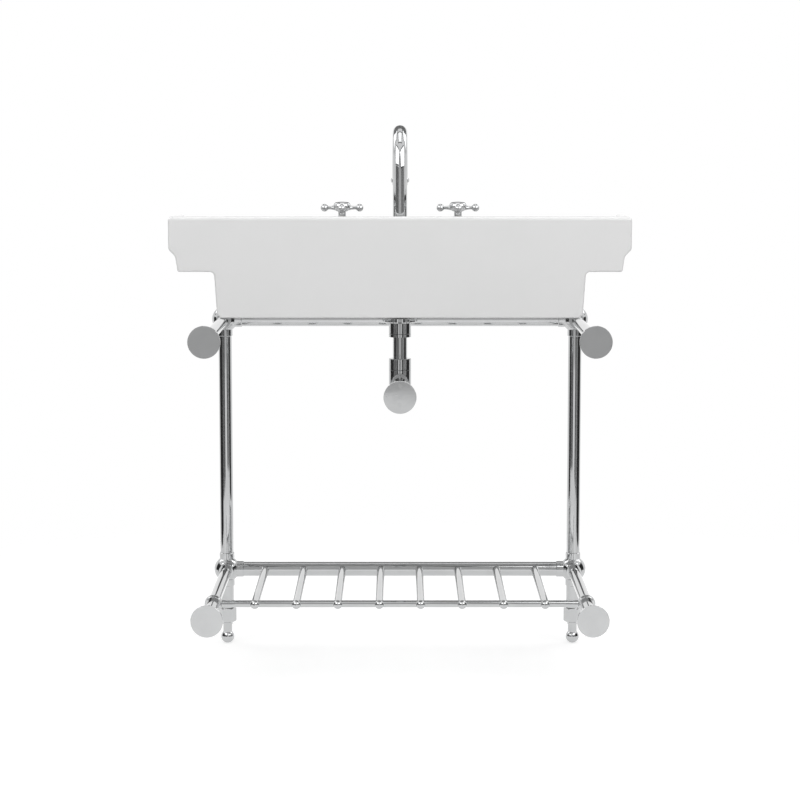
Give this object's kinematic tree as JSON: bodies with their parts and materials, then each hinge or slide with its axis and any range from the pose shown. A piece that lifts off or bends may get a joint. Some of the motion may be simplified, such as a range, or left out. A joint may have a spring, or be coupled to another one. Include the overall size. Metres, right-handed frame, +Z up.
{
  "type": "console sink with legs",
  "caption": "White glazed console basin with a raised back, carried by chrome tube legs with a rod shelf, with a gooseneck spout, cross-handle taps and a bottle trap.",
  "frame": {"origin": "on the floor, under the middle of the box of the whole washstand", "axes": "+Z up, -Y towards the user in front, +Y towards the wall, +X to the user's right"},
  "size_m": [0.8, 0.55, 1.014],
  "materials": {
    "glazed_ceramic": "gloss white glaze",
    "chrome": "polished",
    "brass": "machined",
    "rubber": "matt"
  },
  "bodies": {
    "washstand": {"basin": "glazed_ceramic", "basin_rests": "chrome", "basin_rest_pads": "rubber", "leg_left": "chrome", "leg_right": "chrome", "ball_upper_left": "chrome", "ball_upper_right": "chrome", "ball_lower_left": "chrome", "ball_lower_right": "chrome", "front_rail_upper": "chrome", "front_rail_lower": "chrome", "side_rail_upper_left": "chrome", "side_rail_upper_right": "chrome", "side_rail_lower_left": "chrome", "side_rail_lower_right": "chrome", "wall_flange_upper_left": "chrome", "wall_flange_upper_right": "chrome", "wall_flange_lower_left": "chrome", "wall_flange_lower_right": "chrome", "shelf_rod_1": "chrome", "shelf_rod_2": "chrome", "shelf_rod_3": "chrome", "shelf_rod_4": "chrome", "shelf_rod_5": "chrome", "shelf_rod_6": "chrome", "shelf_rod_7": "chrome", "shelf_rod_8": "chrome", "shelf_cross_rod": "chrome", "cross_rod_tee_left": "chrome", "cross_rod_tee_right": "chrome", "foot_lock_nuts": "chrome", "hot_valve_body": "brass", "cold_valve_body": "brass", "hot_escutcheon": "chrome", "cold_escutcheon": "chrome", "deck_washers": "rubber", "deck_backnuts": "brass", "link_pipes": "brass", "spout_base": "chrome", "drain_body": "chrome", "drain_gasket": "rubber", "drain_backnut": "chrome", "tailpiece_nut": "chrome", "tailpiece": "chrome", "trap_nut": "chrome", "trap_body": "chrome", "trap_cup": "chrome", "waste_arm": "chrome", "waste_wall_flange": "chrome"},
    "hot_handle": {"hot_spindle": "brass", "hot_cross_handle": "chrome", "hot_handle_button": "chrome"},
    "cold_handle": {"cold_spindle": "brass", "cold_cross_handle": "chrome", "cold_handle_button": "chrome"},
    "spout": {"spout_gooseneck": "chrome", "spout_nozzle": "chrome"},
    "drain_plug": {"drain_plug": "chrome"},
    "foot_left": {"foot_left": "chrome"},
    "foot_right": {"foot_right": "chrome"}
  },
  "joints": [
    {"name": "hot_handle_turn", "type": "hinge", "parent": "washstand", "child": "hot_handle", "pos_m": [-0.1017, 0.195, 0.8698], "axis": [0, 0, 1], "range_deg": [0, 90]},
    {"name": "cold_handle_turn", "type": "hinge", "parent": "washstand", "child": "cold_handle", "pos_m": [0.1017, 0.195, 0.8698], "axis": [0, 0, 1], "range_deg": [-90, 0]},
    {"name": "spout_swivel", "type": "hinge", "parent": "washstand", "child": "spout", "pos_m": [0, 0.195, 0.84], "axis": [0, 0, 1], "range_deg": [-60, 60]},
    {"name": "drain_plug_lift", "type": "slide", "parent": "washstand", "child": "drain_plug", "axis": [0, 0, 1], "range_m": [0, 0.008]},
    {"name": "foot_left_level", "type": "slide", "parent": "washstand", "child": "foot_left", "axis": [0, 0, -1], "range_m": [-0.01, 0.015]},
    {"name": "foot_right_level", "type": "slide", "parent": "washstand", "child": "foot_right", "axis": [0, 0, -1], "range_m": [-0.01, 0.015]}
  ]
}
